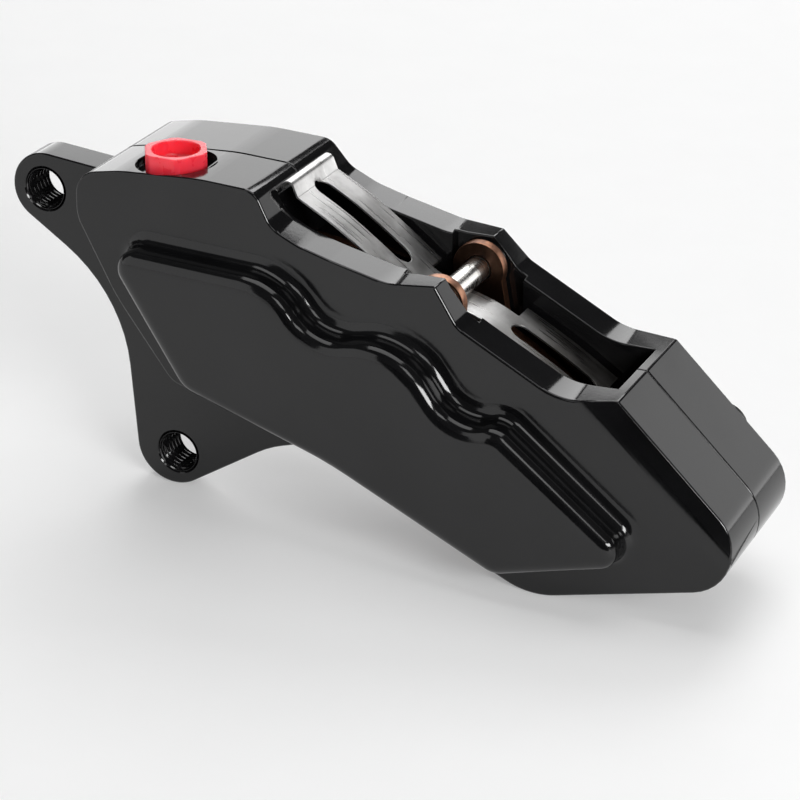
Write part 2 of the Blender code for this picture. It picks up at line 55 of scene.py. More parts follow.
DISC_CENTRE = (19.7, -69.3)
SLOT_RADIUS = 144.5
SLOT_HALF = 3.8
LEAN = radians(1.79)
SHIFT = (-55.16, 0.0, 0.82)
STANCE = Matrix.Scale(0.001, 4) @ Matrix.Translation(SHIFT) @ Matrix.Rotation(-LEAN, 4, 'Y')

# Halves: depths across the disc, and the rounding of their edges.
SPLIT_HALF = 0.02
LEDGE_Y = 21.5
PANEL_Y = 30.9
WINDOW_HALF = 13.0
POCKET_HALF = 14.9
PLATE_Y = 10.2
BORE_START = 12.0
BORE_END = 28.0
# Edge of the raised housing: length of the bend at its top and at its foot, its last slope, and
# how slowly it starts to bend (1 is a plain arc).
BEND_LENGTH = 6.0
BEND_SLOPE = radians(88)
BEND_EASE = 1.6
BEND_STEPS = 24
RIM = 0.7
SEAM_RIM = 0.55
WINDOW_RIM = 0.45
# The smoothly rounded outlines are drawn in by this much, to stay within the CAD's flatter arcs.
SKIN = 0.07
# Sloping strip at the right-hand end of the near face: start and direction of its inner line,
# how wide its rounded beginning is, and how steeply it falls away after that.
CROWN_START = (112.4, 53.0)
CROWN_ALONG = (42.2, -40.9)
CROWN_BLEND = 5.0
CROWN_TILT = radians(15)
CROWN_REACH = 20.0
BODY = [
    (-18.9, 87.0, 7.0), (-6.0, 89.4, 40.0), (16.0, 90.7, 60.0), (32.0, 90.0, 5.0),
    (36.4, 81.0, 8.0), (44.0, 77.5, 20.0), (52.0, 75.3, 40.0), (67.5, 71.7, 20.0),
    (80.2, 73.2, 0.8), (86.2, 63.6, 7.0), (112.0, 49.9, 17.0), (127.1, 51.4, 1.2),
    (169.3, 10.5, 12.0), (106.0, -5.3, 20.0), (50.0, 20.6, 120.0), (6.9, 34.4, 6.0),
    (-8.5, 55.2, 60.0), (-18.9, 75.3, 10.0),
]
# Corners of the two dips, and how much higher the dips lie at each half's outer face and at the
# middle plane.
DIP_CORNERS = (4, 5, 6, 7, 9, 10)
DIP_RISE = {-1: (0.0, 1.5), 1: (2.8, 1.5)}
PANEL = [
    (0.8, 67.3, 0.6), (38.0, 65.8, 14.0), (49.0, 51.0, 18.0), (72.1, 55.2, 15.0),
    (86.0, 35.4, 17.0), (98.8, 38.1, 3.0), (127.5, 15.4, 0.6), (99.9, 7.9, 2.0),
    (55.9, 28.7, 102.0), (17.5, 40.9, 3.5),
]
UPPER_EAR = (-34.6, 76.3)
LOWER_EAR = (1.8, 8.6)
EAR_RADIUS = 9.6
FOOT_CENTRE = (0.4, 10.0)
FOOT_RADIUS = 10.8
THREAD_CREST = 4.8
THREAD_ROOT = 5.5
THREAD_PITCH = 1.6
THREAD_STEPS = 64
THREAD_ROWS = 8
EAR_CHAMFER = 6.2

# Pads, pin and fasteners.
PISTONS = [((26.9, 50.5), 15.0), ((62.0, 43.0), 13.5), ((97.0, 22.5), 12.7)]
PAD_INNER = 104.5
PAD_OUTER = 137.0
PAD_MIDDLE = 120.0
PAD_FIRST = -4.5
PAD_LAST = 46.8
LINING_Y = (4.0, 10.8)
BACKING_Y = (11.0, 13.9)
SHIM_Y = (14.0, 14.4)
PIN_CENTRE = (77.5, 65.4)
PIN_RADIUS = 3.175
PIN_CLEARANCE = 0.08
PIN_TIP = -19.0
PIN_HEAD_Y = (18.8, 21.6)
PIN_HEAD_RADIUS = 5.0
PIN_RECESS = 5.4
PIN_EYE = 3.6
PAD_EYE_OUTER = 6.9
LINING_INSET = 1.2
SHIM_INSET = 0.8
GROOVE_DEPTH = 2.4
BOLTS = [(-8.0, 80.0), (25.0, 82.2), (139.5, 29.0), (148.0, 15.0)]
BOLT_RADIUS = 4.0
BOLT_TIP = -16.5
BOLT_HEAD = 6.5
HEAD_SEAT = LEDGE_Y - 4.9
HEAD_HEIGHT = 8.0
SOCKET_RADIUS = 3.4
BLEEDERS = [(6.0, 81.0), (131.0, 36.5)]
BLEED_RADIUS = 2.7
NIPPLE_RADIUS = 2.2
NIPPLE_TOP = 26.6
BLEED_HEXAGON = (22.0, 23.8)
PORT_CENTRE = (4.6, -10.9)
PORT_RADIUS = 5.0
PORT_FLOOR = 80.0
SPOT_RADIUS = 10.3
SPOT_FLOOR = 87.2
CAP_FOOT = SPOT_FLOOR + 0.3
CAP_TOP = 93.4
CAP_CORNERS = 8.9
CAP_ROUND = 8.35
CAP_STEM = 4.6
STEM_FOOT = 78.0
CUP_FLOOR = SPOT_FLOOR + 2.2
CUP_RADIUS = 6.3
CUP_TOP = 100.0

# Leaf spring.
SPRING_HALF = 11.3
SPRING_THICK = 0.6
SPRING_WAIST = 5.6
SPRING_ROLL = (36.0, 88.0)
ROLL_RADIUS = 1.5
SPRING_SLOTS = [(41.0, 61.0), (94.5, 111.0)]
LEAF_SLOT_HALF = 3.0
WAIST_OUTLINE = [(67.5, 50.0), (91.0, 40.0), (91.0, 72.0), (67.5, 76.0)]
SPRING_PATH = [
    (38.5, 85.8), (48.0, 80.4), (56.0, 74.9), (62.5, 70.0), (68.0, 65.8), (74.0, 62.6),
    (79.5, 61.4), (86.0, 59.2), (94.4, 55.0), (105.3, 48.9), (115.5, 42.2),
]

# Cutting tools reach from just past the middle plane to well outside every face.
PAST = 1.0
OUTSIDE = 40.0
SIDES = 96

# Camera: focal length, degrees to the right of the front and above it, and where its eye is.
LENS = 130.5
CAMERA_AZIMUTH = 24.728
CAMERA_ELEVATION = 24.789
EYE = (340.9, -607.5, 339.6)


# ---------------------------------------------------------------- outlines

def polar(angle, radius, centre=DISC_CENTRE):
    """Point at an angle in degrees, clockwise from straight up."""
    a = radians(angle)
    return (centre[0] + radius * sin(a), centre[1] + radius * cos(a))


def arc(centre, radius, start, end, pieces):
    """Points along an arc; angles in degrees, anticlockwise from +X."""
    points = []
    for index in range(pieces + 1):
        a = radians(start + (end - start) * index / pieces)
        points.append((centre[0] + radius * cos(a), centre[1] + radius * sin(a)))
    return points


def ring_arc(radius, start, end, step=1.0):
    """Points along an arc about the disc axis, clockwise angles from straight up."""
    pieces = max(1, ceil(abs(end - start) / step))
    return [polar(start + (end - start) * index / pieces, radius) for index in range(pieces + 1)]


def rounded(corners, step=6.0, pieces=0):
    """Closed outline whose corners (x, z, radius) become arcs; a corner with no radius stays."""
    points = []
    count = len(corners)
    for index, corner in enumerate(corners):
        here = Vector(corner[:2])
        if len(corner) == 2:
            points.append(tuple(here))
            continue
        before = (Vector(corners[index - 1][:2]) - here).normalized()
        after = (Vector(corners[(index + 1) % count][:2]) - here).normalized()
        turn = pi - before.angle(after)
        centre = here + (before + after).normalized() * corner[2] / cos(turn / 2)
        start = here + before * corner[2] * tan(turn / 2) - centre
        end = here + after * corner[2] * tan(turn / 2) - centre
        first = atan2(start.y, start.x)
        sweep = (atan2(end.y, end.x) - first + pi) % (2 * pi) - pi
        parts = pieces or max(3, ceil(degrees(turn) / step))
        for piece in range(parts + 1):
            a = first + sweep * piece / parts
            points.append((centre.x + corner[2] * cos(a), centre.y + corner[2] * sin(a)))
    return points


def grown(points, distance):
    """Outline moved outwards by a distance (inwards when negative)."""
    area = sum(a[0] * b[1] - b[0] * a[1] for a, b in zip(points, points[1:] + points[:1]))
    side = 1.0 if area > 0 else -1.0
    result = []
    count = len(points)
    for index in range(count):
        here = Vector(points[index])
        into = (here - Vector(points[index - 1])).normalized()
        out = (Vector(points[(index + 1) % count]) - here).normalized()
        normal = Vector((into.y + out.y, -into.x - out.x)).normalized() * side
        stretch = 1.0 / max(0.3, normal.dot(Vector((into.y, -into.x)) * side))
        result.append(tuple(here + normal * distance * stretch))
    return result


def smooth(points, pieces=10):
    """Flowing curve through a few points."""
    padded = [points[0]] + points + [points[-1]]
    result = []
    for a, b, c, d in zip(padded, padded[1:], padded[2:], padded[3:]):
        for piece in range(pieces):
            t = piece / pieces
            result.append(tuple(
                0.5 * (2 * q + (r - p) * t + (2 * p - 5 * q + 4 * r - s) * t * t
                       + (3 * q - p - 3 * r + s) * t ** 3)
                for p, q, r, s in zip(a, b, c, d)))
    return result + [points[-1]]


# ---------------------------------------------------------------- solids

def finish(name, mesh):
    """Object from a closed bmesh, with all faces looking outwards."""
    bmesh.ops.remove_doubles(mesh, verts=mesh.verts, dist=1e-4)
    bmesh.ops.recalc_face_normals(mesh, faces=mesh.faces)
    data = bpy.data.meshes.new(name)
    mesh.to_mesh(data)
    mesh.free()
    body = bpy.data.objects.new(name, data)
    bpy.context.scene.collection.objects.link(body)
    return body


def bridge(mesh, low, high):
    """Faces between two closed rings of as many points."""
    count = len(low)
    for index in range(count):
        after = (index + 1) % count
        mesh.faces.new((low[index], low[after], high[after], high[index]))


def circle(mesh, centre, y, radii):
    """Ring of points about an axis along Y, one for each radius."""
    points = []
    for index, radius in enumerate(radii):
        a = 2 * pi * index / len(radii)
        points.append(mesh.verts.new((centre[0] + radius * cos(a), y,
                                      centre[1] + radius * sin(a))))
    return points


def loft(name, rings):
    """Closed solid through rings (outline, y) that have the same number of points."""
    mesh = bmesh.new()
    loops = [[mesh.verts.new((x, y, z)) for x, z in outline] for outline, y in rings]
    for low, high in zip(loops, loops[1:]):
        bridge(mesh, low, high)
    mesh.faces.new(loops[0])
    mesh.faces.new(loops[-1])
    return finish(name, mesh)


def slab(name, outline, y0, y1):
    """Outline pushed straight from y0 to y1."""
    return loft(name, [(outline, y0), (outline, y1)])


def turned(name, centre, profile, sides=SIDES):
    """Turned piece about an axis along Y through centre; profile is (radius, y)."""
    mesh = bmesh.new()
    loops = []
    for radius, y in profile:
        if radius == 0:
            loops.append([mesh.verts.new((centre[0], y, centre[1]))])
            continue
        loops.append(circle(mesh, centre, y, [radius] * sides))
    for low, high in zip(loops, loops[1:]):
        if len(low) == len(high):
            bridge(mesh, low, high)
            continue
        for index in range(sides):
            after = (index + 1) % sides
            if len(low) == 1:
                mesh.faces.new((low[0], high[after], high[index]))
            else:
                mesh.faces.new((low[index], low[after], high[0]))
    return finish(name, mesh)


def rod(name, centre, radius, y0, y1, sides=SIDES):
    """Plain round bar along Y."""
    return turned(name, centre, [(0, y0), (radius, y0), (radius, y1), (0, y1)], sides)


def upright(body, x, y, z=0.0):
    """Stand a piece turned about the Y axis on end, with its y measured up from z."""
    body.data.transform(Matrix.Translation((x, y, z)) @ Matrix.Rotation(radians(90), 4, 'X'))
    return body


def combine(body, tool, operation='DIFFERENCE'):
    """Cut a tool from a body, join it on, or keep what both share."""
    step = body.modifiers.new(operation.lower(), 'BOOLEAN')
    step.operation = operation
    step.solver = 'EXACT'
    step.object = tool
    bpy.context.view_layer.update()
    result = bpy.data.meshes.new_from_object(
        body.evaluated_get(bpy.context.evaluated_depsgraph_get()))
    body.modifiers.clear()
    tidy = bmesh.new()
    tidy.from_mesh(result)
    bmesh.ops.remove_doubles(tidy, verts=tidy.verts, dist=2e-3)
    bmesh.ops.dissolve_degenerate(tidy, edges=tidy.edges, dist=1e-3)
    tidy.to_mesh(result)
    tidy.free()
    body.data = result
    bpy.data.objects.remove(tool)
    return body


def broken_edges(body, width, segments=2, angle=40.0, where=None):
    """Round every crease sharper than an angle, or only those that where() picks."""
    mesh = bmesh.new()
    mesh.from_mesh(body.data)
    bmesh.ops.dissolve_limit(mesh, angle_limit=radians(0.6), verts=mesh.verts, edges=mesh.edges)
    creases = [edge for edge in mesh.edges
               if len(edge.link_faces) == 2 and edge.calc_face_angle(0.0) > radians(angle)
               and (where is None or where(edge))]
    bmesh.ops.bevel(mesh, geom=creases, offset=width, offset_type='OFFSET', segments=segments,
                    profile=0.5, affect='EDGES', clamp_overlap=False, loop_slide=True)
    mesh.to_mesh(body.data)
    mesh.free()
    return body


def placed(body, ride, material, replaces=(), angle=32.0):
    """Shade a finished piece, put it in the row frame and let it ride on its CAD body."""
    body.data.transform(STANCE)
    body.data.shade_smooth()
    body.data.set_sharp_from_angle(angle=radians(angle))
    even = body.modifiers.new("even_normals", 'WEIGHTED_NORMAL')
    even.keep_sharp = True
    even.weight = 80
    body.data.materials.clear()
    body.data.materials.append(material)
    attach(body, ride)
    if replaces:
        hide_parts(*replaces)
    return body


# ---------------------------------------------------------------- materials

def shader(name, colour, roughness, metallic=0.0, **sockets):
    """Principled material; the extra sockets are named with underscores."""
    material = bpy.data.materials.new(name)
    material.use_nodes = True
    surface = material.node_tree.nodes["Principled BSDF"]
    surface.inputs["Base Color"].default_value = (*colour, 1.0)
    surface.inputs["Roughness"].default_value = roughness
    surface.inputs["Metallic"].default_value = metallic
    for socket, value in sockets.items():
        surface.inputs[socket.replace("_", " ")].default_value = value
    return material


def node(material, kind, **settings):
    """New node with its settings and input values given by name."""
    made = material.node_tree.nodes.new(kind)
    for key, value in settings.items():
        if key in made.inputs:
            made.inputs[key].default_value = value
        else:
            setattr(made, key, value)
    return made


def link(material, source, output, target, socket):
    material.node_tree.links.new(source.outputs[output], target.inputs[socket])


def object_space(material, stretch=(1.0, 1.0, 1.0), turn=0.0):
    """The piece's own coordinates in metres, stretched for grain and brushing."""
    place = node(material, "ShaderNodeTexCoord")
    mapping = node(material, "ShaderNodeMapping")
    mapping.inputs["Scale"].default_value = stretch
    mapping.inputs["Rotation"].default_value = (0.0, turn, 0.0)
    link(material, place, "Object", mapping, "Vector")
    return mapping


def grain(material, scale, detail=4.0, stretch=(1.0, 1.0, 1.0), turn=0.0, rough=0.55):
    """Noise over the piece."""
    noise = node(material, "ShaderNodeTexNoise", Scale=scale, Detail=detail, Roughness=rough)
    link(material, object_space(material, stretch, turn), "Vector", noise, "Vector")
    return noise


def spread(material, source, low, high, output="Fac", start=0.3, end=0.7):
    """Stretch a texture's middle range to run from low to high."""
    change = node(material, "ShaderNodeMapRange")
    for socket, value in (("From Min", start), ("From Max", end), ("To Min", low),
                          ("To Max", high)):
        change.inputs[socket].default_value = value
    link(material, source, output, change, "Value")
    return change


def across_piece(material, axis, start, end):
    """Value that runs from 0 to 1 between two places, in metres, along an axis."""
    split = node(material, "ShaderNodeSeparateXYZ")
    link(material, object_space(material), "Vector", split, "Vector")
    return spread(material, split, 0.0, 1.0, axis, start, end)


def tint(material, mask, colour):
    """Multiply the colour by another one where the mask is 1."""
    surface = material.node_tree.nodes["Principled BSDF"]
    before = surface.inputs["Base Color"].links[0].from_node
    mix = node(material, "ShaderNodeMix", data_type='RGBA', blend_type='MULTIPLY')
    link(material, before, "Color", mix, "A")
    mix.inputs["B"].default_value = (*colour, 1.0)
    link(material, mask, "Result", mix, "Factor")
    link(material, mix, "Result", surface, "Base Color")


def vary_roughness(material, texture, low, high):
    surface = material.node_tree.nodes["Principled BSDF"]
    link(material, spread(material, texture, low, high), "Result", surface, "Roughness")


def vary_colour(material, texture, stops):
    """Colours along a texture's range; stops are (position, (r, g, b))."""
    ramp = node(material, "ShaderNodeValToRGB")
    ramp.color_ramp.elements[0].position = stops[0][0]
    ramp.color_ramp.elements[0].color = (*stops[0][1], 1.0)
    ramp.color_ramp.elements[1].position = stops[-1][0]
    ramp.color_ramp.elements[1].color = (*stops[-1][1], 1.0)
    for position, colour in stops[1:-1]:
        ramp.color_ramp.elements.new(position).color = (*colour, 1.0)
    link(material, texture, "Fac", ramp, "Fac")
    surface = material.node_tree.nodes["Principled BSDF"]
    link(material, ramp, "Color", surface, "Base Color")


def add_bump(material, textures, distance):
    """Relief from one or more (texture, strength) pairs."""
    surface = material.node_tree.nodes["Principled BSDF"]
    last = None
    for texture, strength in textures:
        bump = node(material, "ShaderNodeBump", Strength=strength, Distance=distance)
        link(material, texture, "Fac", bump, "Height")
        if last:
            link(material, last, "Normal", bump, "Normal")
        last = bump
    link(material, last, "Normal", surface, "Normal")


def black_anodised():
    """Polished aluminium under a deep black anodised coat, with faint polishing haze."""
    material = shader("black_anodised", (0.004, 0.004, 0.0043), 0.1, IOR=1.5)
    haze = grain(material, 55.0, 3.0)
    fine = grain(material, 900.0, 6.0)
    vary_roughness(material, haze, 0.085, 0.14)
    vary_colour(material, haze, [(0.3, (0.0032, 0.0032, 0.0035)), (0.7, (0.0055, 0.0055, 0.006))])
    add_bump(material, [(fine, 0.03), (haze, 0.015)], 0.0002)
    return material


def spring_steel():
    """Rolled stainless strip, brushed along its length and mottled by heat, its right-hand end in
    painted shade.
    """
    material = shader("spring_steel", (0.3, 0.295, 0.29), 0.3, 1.0)
    brushed = grain(material, 900.0, 3.0, (0.06, 1.0, 0.06), 0.5)
    stain = grain(material, 130.0, 6.0)
    vary_colour(material, stain, [(0.35, (0.42, 0.415, 0.41)), (0.5, (0.55, 0.545, 0.54)),
                                  (0.7, (0.66, 0.655, 0.65))])
    # Painted shade: from 30 to 45 mm along X the strip is darkened to about a third, and stays
    # dark beyond, as if the window's end shaded it.
    tint(material, across_piece(material, "X", 0.03, 0.045), (0.3, 0.29, 0.28))
    vary_roughness(material, brushed, 0.24, 0.4)
    add_bump(material, [(brushed, 0.05), (stain, 0.04)], 0.0002)
    return material


def pin_steel():
    """Ground steel pin with fine turning lines."""
    material = shader("pin_steel", (0.86, 0.84, 0.80), 0.24, 1.0)
    lines = grain(material, 2200.0, 2.0, (0.05, 1.0, 0.05))
    vary_roughness(material, lines, 0.18, 0.3)
    add_bump(material, [(lines, 0.06)], 0.0001)
    return material


def red_plastic():
    """Moulded translucent red plastic."""
    material = shader("red_plastic", (0.92, 0.03, 0.07), 0.3, IOR=1.49,
                      Subsurface_Weight=0.7, Subsurface_Scale=0.003)
    surface = material.node_tree.nodes["Principled BSDF"]
    surface.inputs["Subsurface Radius"].default_value = (1.0, 0.12, 0.14)
    skin = grain(material, 500.0, 3.0)
    flow = grain(material, 160.0, 3.0)
    vary_roughness(material, flow, 0.22, 0.36)
    vary_colour(material, flow, [(0.3, (0.88, 0.035, 0.06)), (0.7, (0.97, 0.055, 0.09))])
    add_bump(material, [(skin, 0.08)], 0.0002)
    return material


def flat_faces(material):
    """1 on faces that lie across the disc's axis, 0 on the edges round them."""
    facing = node(material, "ShaderNodeNewGeometry")
    split = node(material, "ShaderNodeSeparateXYZ")
    link(material, facing, "Normal", split, "Vector")
    size = node(material, "ShaderNodeMath", operation='ABSOLUTE')
    link(material, split, "Y", size, 0)
    return spread(material, size, 0.0, 1.0, "Value", 0.8, 0.95)


def copper_plate():
    """Copper-plated steel backing, browned and rubbed."""
    material = shader("copper_plate", (0.42, 0.20, 0.12), 0.38, 1.0)
    patches = grain(material, 260.0, 6.0)
    vary_colour(material, patches, [(0.3, (0.10, 0.055, 0.04)), (0.5, (0.36, 0.17, 0.10)),
                                    (0.72, (0.55, 0.29, 0.18))])
    tint(material, flat_faces(material), (0.16, 0.18, 0.2))
    vary_roughness(material, patches, 0.5, 0.28)
    add_bump(material, [(grain(material, 1500.0, 4.0), 0.2)], 0.0001)
    return material


def shim_steel():
    """Bright rolled shim."""
    material = shader("shim_steel", (0.72, 0.72, 0.71), 0.2, 1.0)
    rolled = grain(material, 1200.0, 2.0, (0.08, 1.0, 1.0))
    vary_roughness(material, rolled, 0.14, 0.3)
    add_bump(material, [(rolled, 0.1)], 0.0001)
    return material


def sintered():
    """Sintered friction lining: dark brown, gritty, with copper flecks."""
    material = shader("sintered", (0.05, 0.04, 0.035), 0.8, 0.35)
    grit = grain(material, 1400.0, 8.0, rough=0.7)
    vary_colour(material, grit, [(0.4, (0.025, 0.02, 0.018)), (0.58, (0.08, 0.055, 0.045)),
                                 (0.7, (0.35, 0.18, 0.11))])
    vary_roughness(material, grit, 0.9, 0.5)
    add_bump(material, [(grit, 0.6)], 0.0003)
    return material


def black_oxide():
    """Black-oxide screw steel."""
    material = shader("black_oxide", (0.02, 0.02, 0.021), 0.35, 0.6)
    skin = grain(material, 700.0, 4.0)
    vary_roughness(material, skin, 0.26, 0.42)
    vary_colour(material, skin, [(0.3, (0.014, 0.014, 0.015)), (0.7, (0.035, 0.034, 0.033))])
    add_bump(material, [(skin, 0.12)], 0.0001)
    return material


def bright_zinc():
    """Zinc-plated steel, faintly clouded."""
    material = shader("bright_zinc", (0.62, 0.63, 0.65), 0.28, 1.0)
    cloud = grain(material, 420.0, 5.0)
    vary_roughness(material, cloud, 0.2, 0.38)
    vary_colour(material, cloud, [(0.3, (0.52, 0.53, 0.55)), (0.7, (0.70, 0.71, 0.72))])
    add_bump(material, [(cloud, 0.08)], 0.0001)
    return material


def turned_piston():
    """Turned and hard-anodised piston."""
    material = shader("turned_piston", (0.42, 0.41, 0.40), 0.32, 1.0)
    lines = grain(material, 1800.0, 2.0, (0.04, 1.0, 0.04))
    vary_roughness(material, lines, 0.24, 0.42)
    add_bump(material, [(lines, 0.2)], 0.0001)
    return material


def black_rubber():
    """Matt moulded rubber."""
    material = shader("black_rubber", (0.016, 0.016, 0.016), 0.7, Specular_IOR_Level=0.35)
    skin = grain(material, 900.0, 5.0)
    vary_roughness(material, skin, 0.58, 0.8)
    vary_colour(material, skin, [(0.3, (0.011, 0.011, 0.011)), (0.7, (0.026, 0.026, 0.025))])
    add_bump(material, [(skin, 0.25)], 0.0001)
    return material


BLACK = black_anodised()
SPRING = spring_steel()
PIN = pin_steel()
RED = red_plastic()
COPPER = copper_plate()
SHIM = shim_steel()
LINING = sintered()
OXIDE = black_oxide()
ZINC = bright_zinc()
PISTON = turned_piston()
RUBBER = black_rubber()


# ---------------------------------------------------------------- halves

def bend_profile():
    """Curve from flat to upright that bends slowly at first: (distance across, height)."""
    across, rise = 0.0, 0.0
    points = []
    for index in range(BEND_STEPS):
        angle = BEND_SLOPE * ((index + 0.5) / BEND_STEPS) ** BEND_EASE
        across += BEND_LENGTH / BEND_STEPS * cos(angle)
        rise += BEND_LENGTH / BEND_STEPS * sin(angle)
        points.append((across, rise))
    return points


def panel_solid(side):
    """Raised piston housing, whose edge bends up from the ledge and over into its flat top."""
    face = rounded(PANEL, 3.0)
    bend = bend_profile()
    foot = 2 * bend[-1][0]
    rings = [(grown(face, foot), side * (LEDGE_Y - 2.0)),
             (grown(face, foot), side * (LEDGE_Y - 0.02))]
    rings += [(grown(face, foot - across), side * (LEDGE_Y + rise)) for across, rise in bend]
    rings += [(grown(face, across), side * (PANEL_Y - rise)) for across, rise in bend[::-1]]
    return loft("panel", rings)


def plate_outline():
    """Mounting plate with its two ears."""
    return rounded(
        arc(UPPER_EAR, EAR_RADIUS, 83, 234, 40)
        + [(-13.4, 50.4, 40.0)]
        + arc(FOOT_CENTRE, FOOT_RADIUS, 184, 303, 34)
        + [(28.6, 15.0, 30.0), (50.0, 21.5), (50.0, 40.0), (-8.0, 80.0),
           (-9.0, 88.2), (-16.0, 84.1, 8.0)])


def pocket_outline(side):
    """Room for the pads, open to the disc side; the mounting plate closes its lower left end
    on the near half."""
    foot = ring_arc(102.8, 15.0, -5.2) if side < 0 else [polar(-5.2, 90.0)]
    return foot + ring_arc(139.5, -5.2, 47.6) + [polar(47.6, 85.0), polar(15.0, 85.0)]


def slot_tool(start, end):
    """The room the disc turns in, from one depth to another."""
    outline = ring_arc(SLOT_RADIUS, -42.0, 66.0) + [(150.0, -40.0), (-60.0, -40.0)]
    return slab("slot", outline, start, end)


def body_outline(rise):
    """Body outline with its two dips raised."""
    corners = list(BODY)
    for index in DIP_CORNERS:
        x, z, radius = corners[index]
        corners[index] = (x + 0.5 * rise, z + 0.87 * rise, radius)
    return rounded(corners, pieces=12)


def rim_rings(outline, y, side, rim, outwards):
    """Rings that round the edge of an outline at depth y; outwards is towards the outer face."""
    rings = []
    for step in range(5):
        a = radians(90 * step / 4)
        depth = y - rim * (1 - sin(a)) if outwards else y + rim * (1 - sin(a))
        rings.append((grown(outline, -rim * (1 - cos(a))), side * depth))
    return rings if outwards else rings[::-1]


def half(name, side):
    """One half of the caliper body, before the holes that only it has."""
    outer, inner = (grown(body_outline(rise), -SKIN) for rise in DIP_RISE[side])
    body = loft(name, rim_rings(inner, SPLIT_HALF, side, SEAM_RIM, False)
                + [(inner, side * WINDOW_HALF)] + rim_rings(outer, LEDGE_Y, side, RIM, True))
    face = slab("face", outer, side * (LEDGE_Y - 4.0), side * (PANEL_Y + 1.0))
    combine(body, combine(face, panel_solid(side), 'INTERSECT'), 'UNION')
    if side < 0:
        combine(body, crown_cutter(8))
    combine(body, slot_tool(-side * PAST, side * SLOT_HALF))
    combine(body, slab("pocket", pocket_outline(side), -side * PAST, side * POCKET_HALF))
    window = [(34.0, 62.0), (34.0, 100.0), (124.4, 100.0), (124.4, 24.0), polar(43.0, 130.0)]
    combine(body, slab("window", window, -side * PAST, side * WINDOW_HALF))
    ear_room = [(69.6, 50.0), (89.0, 44.0), (89.0, 90.0), (69.6, 90.0)]
    combine(body, slab("ear_pocket", ear_room, side * 10, side * POCKET_HALF))
    for centre, radius in PISTONS:
        combine(body, rod("bore", centre, radius, side * BORE_START, side * BORE_END))
    return body


def crown_cutter(pieces):
    """Everything outside the sloping strip at the right-hand end of the near face."""
    along = Vector(CROWN_ALONG).normalized()
    across = Vector((-along.y, along.x))
    profile = [(-1.0, -PANEL_Y), (-1.0, -LEDGE_Y - 0.01)]
    for index in range(pieces + 1):
        offset = CROWN_BLEND * index / pieces
        fall = tan(CROWN_TILT) * offset * offset / (2 * CROWN_BLEND)
        profile.append((offset, fall - LEDGE_Y))
    fall = tan(CROWN_TILT) * (CROWN_REACH - CROWN_BLEND / 2)
    profile += [(CROWN_REACH, fall - LEDGE_Y), (CROWN_REACH, -PANEL_Y)]
    mesh = bmesh.new()
    loops = []
    for distance in (-12.0, 80.0):
        line = Vector(CROWN_START) + along * distance
        spots = [(line + across * offset, y) for offset, y in profile]
        loops.append([mesh.verts.new((spot.x, y, spot.y)) for spot, y in spots])
    bridge(mesh, loops[0], loops[1])
    mesh.faces.new(loops[0])
    mesh.faces.new(loops[1])
    return finish("crown", mesh)


def window_rim(edge):
    """Creases between the top and the walls of the window, and along the crowned strip."""
    flat = [face.normal for face in edge.link_faces]
    walls = [n for n in flat if n.z < 0.2 and (abs(n.y) > 0.95 or abs(n.x) > 0.95)]
    tops = [n for n in flat if n.z > 0.25 and abs(n.y) < 0.5]
    middle = (edge.verts[0].co + edge.verts[1].co) / 2
    in_window = walls and tops and abs(middle.y) < POCKET_HALF + 0.1
    on_crown = any(-0.99999 < n.y < -0.85 and n.x > 0.003 and n.z > 0.003 for n in flat)
    beside = any(abs(n.y) < 0.5 for n in flat)
    return middle.z > 0 and (in_window or (on_crown and beside))


def near_half():
    """Mounting half: inlet spot face and blind pin hole."""
    body = half("near_half_shell", -1)
    combine(body, rod("pin_hole", PIN_CENTRE, PIN_RADIUS + PIN_CLEARANCE, 3.0,
                      PIN_TIP - 0.4, 48))
    port = turned("port", (0, 0), [
        (0, PORT_FLOOR), (PORT_RADIUS, PORT_FLOOR), (PORT_RADIUS, SPOT_FLOOR),
        (SPOT_RADIUS, SPOT_FLOOR), (SPOT_RADIUS, 98.0), (0, 98.0)])
    combine(body, upright(port, *PORT_CENTRE))
    broken_edges(body, WINDOW_RIM, 3, 24.0, window_rim)
    return placed(body, "caliper", BLACK, ["near_half"])


def mounting_plate():
    """Plate and ears of the near half, with the two mounting holes bored for their threads."""
    outline = grown(plate_outline(), -SKIN)
    plate = loft("near_half_plate", rim_rings(outline, SPLIT_HALF, -1, SEAM_RIM, False)
                 + rim_rings(outline, PLATE_Y, -1, RIM, True))
    for centre in (UPPER_EAR, LOWER_EAR):
        flare = EAR_CHAMFER - THREAD_ROOT
        combine(plate, turned("thread", centre, [
            (0, 3.0), (THREAD_ROOT, 3.0), (THREAD_ROOT, flare - PLATE_Y),
            (EAR_CHAMFER + PAST, -PLATE_Y - PAST), (0, -PLATE_Y - PAST)]))
    combine(plate, slot_tool(PAST, -SLOT_HALF))
    combine(plate, slab("pads", pocket_outline(-1), PAST, -POCKET_HALF))
    combine(plate, rod("bore", *PISTONS[0], 0.0, -POCKET_HALF))
    return placed(plate, "caliper", BLACK, ["near_half"])


def far_half():
    """Outer half: bolt heads, bleed screws and the pin's head."""
    body = half("far_half_shell", 1)
    for centre in BOLTS:
        combine(body, rod("bolt_hole", centre, BOLT_HEAD + 0.4, HEAD_SEAT - 0.1, OUTSIDE, 48))
    for centre in BLEEDERS:
        combine(body, rod("bleed_hole", centre, BLEED_RADIUS + 0.3, BORE_START, OUTSIDE, 32))
    hole = PIN_RADIUS + PIN_CLEARANCE
    seat = PIN_HEAD_Y[0] - 0.2
    combine(body, turned("pin_hole", PIN_CENTRE, [
        (0, -3.0), (hole, -3.0), (hole, seat), (PIN_RECESS, seat), (PIN_RECESS, OUTSIDE),
        (0, OUTSIDE)], 48))
    broken_edges(body, WINDOW_RIM, 3, 24.0, window_rim)
    return placed(body, "caliper", BLACK, ["far_half"])


